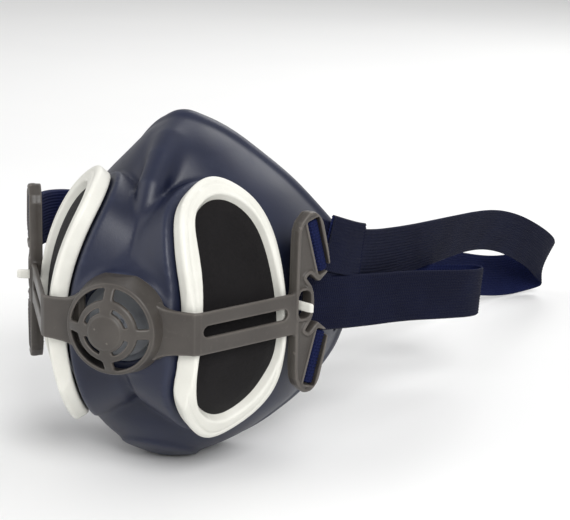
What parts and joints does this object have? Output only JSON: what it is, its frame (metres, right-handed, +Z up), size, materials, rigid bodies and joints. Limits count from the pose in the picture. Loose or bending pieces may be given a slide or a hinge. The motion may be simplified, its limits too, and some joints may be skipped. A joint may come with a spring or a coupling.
{
  "type": "half mask respirator",
  "caption": "Half-mask respirator with two curved clip-in side filters under flexible arms, a central exhale valve with a grille cover, and adjustable elastic head straps.",
  "frame": {"origin": "middle of the bottom of the mask's box without its straps, on the surface that the chin rests on", "axes": "+X towards the wearer's left, +Y from the exhale valve towards the wearer's face, +Z up towards the nose"},
  "size_m": [0.1567, 0.3326, 0.1269],
  "materials": {
    "facepiece": "satin moulded elastomer, fine matte texture",
    "valve_housing": "grey-brown moulded elastomer, satin",
    "filter_frame": "satin white moulding",
    "filter_media": "flat black fine mesh cover",
    "filter_backplate": "satin white moulding",
    "gasket": "soft black rubber",
    "valve_seat": "grey moulding",
    "valve_flap": "translucent grey silicone",
    "webbing": "ribbed elastic webbing",
    "slider": "satin grey moulding"
  },
  "bodies": {
    "mask": {"facepiece": "facepiece", "valve_cover": "valve_housing", "exhale_valve_seat": "valve_seat", "inhale_valve_seat_left": "valve_seat", "inhale_valve_seat_right": "valve_seat", "crown_strap": "webbing", "crown_strap_return": "webbing", "neck_strap": "webbing", "neck_strap_return": "webbing"},
    "exhale_flap": {"exhale_valve_flap": "valve_flap"},
    "crown_slider": {"crown_slider": "slider"},
    "neck_slider": {"neck_slider": "slider"},
    "arm_left": {"harness_arm_left": "valve_housing", "strap_bracket_left": "valve_housing", "crown_loop_left": "webbing", "neck_loop_left": "webbing"},
    "filter_left": {"filter_frame_left": "filter_frame", "filter_media_left": "filter_media", "filter_backplate_left": "filter_backplate", "filter_gasket_left": "gasket"},
    "inhale_flap_left": {"inhale_valve_flap_left": "valve_flap"},
    "arm_right": {"harness_arm_right": "valve_housing", "strap_bracket_right": "valve_housing", "crown_loop_right": "webbing", "neck_loop_right": "webbing"},
    "filter_right": {"filter_frame_right": "filter_frame", "filter_media_right": "filter_media", "filter_backplate_right": "filter_backplate", "filter_gasket_right": "gasket"},
    "inhale_flap_right": {"inhale_valve_flap_right": "valve_flap"}
  },
  "joints": [
    {"name": "exhale_flap_lift", "type": "slide", "parent": "mask", "child": "exhale_flap", "axis": [0, -1, 0], "range_m": [0, 0.0015], "stiffness_N_per_m": 4},
    {"name": "arm_left_swing", "type": "hinge", "parent": "mask", "child": "arm_left", "pos_m": [0.017, -0.03993, 0.0616], "axis": [0, 0, -1], "range_deg": [0, 50], "stiffness_Nm_per_rad": 0.01},
    {"name": "filter_left_pull", "type": "slide", "parent": "mask", "child": "filter_left", "axis": [0.8581, -0.5135, 0], "range_m": [0, 0.0057]},
    {"name": "inhale_flap_left_lift", "type": "slide", "parent": "mask", "child": "inhale_flap_left", "axis": [-0.8581, 0.5135, 0], "range_m": [0, 0.0015], "stiffness_N_per_m": 4},
    {"name": "arm_right_swing", "type": "hinge", "parent": "mask", "child": "arm_right", "pos_m": [-0.017, -0.03993, 0.0616], "axis": [0, 0, 1], "range_deg": [0, 50], "stiffness_Nm_per_rad": 0.01},
    {"name": "filter_right_pull", "type": "slide", "parent": "mask", "child": "filter_right", "axis": [-0.8581, -0.5135, 0], "range_m": [0, 0.0057]},
    {"name": "inhale_flap_right_lift", "type": "slide", "parent": "mask", "child": "inhale_flap_right", "axis": [0.8581, 0.5135, 0], "range_m": [0, 0.0015], "stiffness_N_per_m": 4},
    {"name": "crown_slider_slide", "type": "slide", "parent": "mask", "child": "crown_slider", "axis": [-0.4911, -0.8358, 0.2455], "range_m": [-0.012, 0.012]},
    {"name": "neck_slider_slide", "type": "slide", "parent": "mask", "child": "neck_slider", "axis": [-0.8865, -0.4622, 0.0207], "range_m": [-0.012, 0.012]}
  ],
  "couplings": [
    {"joint": "filter_left_pull", "follows": "arm_left_swing", "m_per_rad": 0.0065},
    {"joint": "filter_right_pull", "follows": "arm_right_swing", "m_per_rad": 0.0065}
  ]
}
